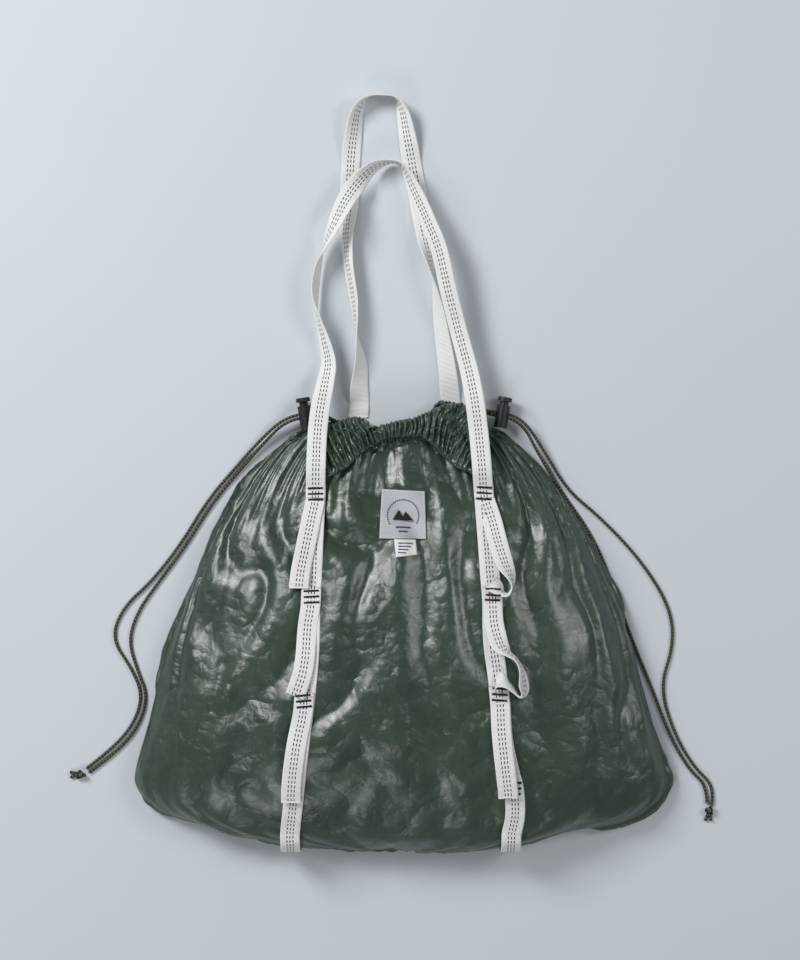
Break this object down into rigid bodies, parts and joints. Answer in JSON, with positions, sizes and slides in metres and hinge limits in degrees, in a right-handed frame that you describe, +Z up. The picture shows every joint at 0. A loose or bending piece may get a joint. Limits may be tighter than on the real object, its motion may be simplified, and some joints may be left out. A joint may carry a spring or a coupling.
{
  "type": "drawcord rope storage bag",
  "caption": "Soft drawcord tote for rope, lying on its back, with two long webbing handles that run down the front as sewn daisy loops.",
  "frame": {"origin": "centre of the bag's footprint with its handles laid out, on the surface it lies on", "axes": "+X across the bag to the right seen from above, +Y from the bottom edge towards the handles, +Z up"},
  "size_m": [0.6341, 0.7441, 0.1065],
  "materials": {
    "shell": "coated ripstop nylon, semi-gloss",
    "webbing": "matt woven webbing",
    "thread": "dense stitching",
    "label": "satin woven label",
    "tag": "printed tape",
    "lock_plastic": "moulded",
    "spring_steel": "bright wire",
    "cord": "braided, flecked"
  },
  "bodies": {
    "root": {"front_panel": "shell", "back_panel": "shell", "bottom_panel": "shell", "hem_front": "shell", "hem_back": "shell", "base_webbing_left": "webbing", "base_webbing_right": "webbing", "bottom_wrap_left": "webbing", "bottom_wrap_right": "webbing", "back_webbing_left": "webbing", "back_webbing_right": "webbing", "daisy_webbing_left": "webbing", "daisy_webbing_right": "webbing", "bartacks_left": "thread", "bartacks_right": "thread", "label_patch": "label", "side_tag": "tag", "lock_barrel_left": "lock_plastic", "lock_spring_left": "spring_steel", "hem_cord_left": "cord", "lock_barrel_right": "lock_plastic", "lock_spring_right": "spring_steel", "hem_cord_right": "cord", "tail_left_outer": "cord", "tail_left_inner": "cord", "tail_right_outer": "cord", "tail_right_inner": "cord", "knot_left": "cord", "knot_right": "cord"},
    "front_handle": {"front_handle": "webbing"},
    "back_handle": {"back_handle": "webbing"},
    "left_plunger": {"lock_plunger_left": "lock_plastic"},
    "right_plunger": {"lock_plunger_right": "lock_plastic"}
  },
  "joints": [
    {"name": "front_handle_lift", "type": "hinge", "parent": "root", "child": "front_handle", "pos_m": [0, -0.01075, 0.05096], "axis": [1, 0, 0], "range_deg": [0, 120]},
    {"name": "back_handle_lift", "type": "hinge", "parent": "root", "child": "back_handle", "pos_m": [0, 0.066, 0.0007], "axis": [1, 0, 0], "range_deg": [0, 60]},
    {"name": "left_plunger_press", "type": "slide", "parent": "root", "child": "left_plunger", "axis": [0.1495, -0.9888, 0], "range_m": [0, 0.0032], "stiffness_N_per_m": 600, "springref_m": -0.004, "deforming": ["lock_spring_left"]},
    {"name": "right_plunger_press", "type": "slide", "parent": "root", "child": "right_plunger", "axis": [-0.1736, -0.9848, 0], "range_m": [0, 0.0032], "stiffness_N_per_m": 600, "springref_m": -0.004, "deforming": ["lock_spring_right"]}
  ],
  "couplings": [
    {"joint": "back_handle_lift", "follows": "front_handle_lift", "ratio": 0.5}
  ]
}
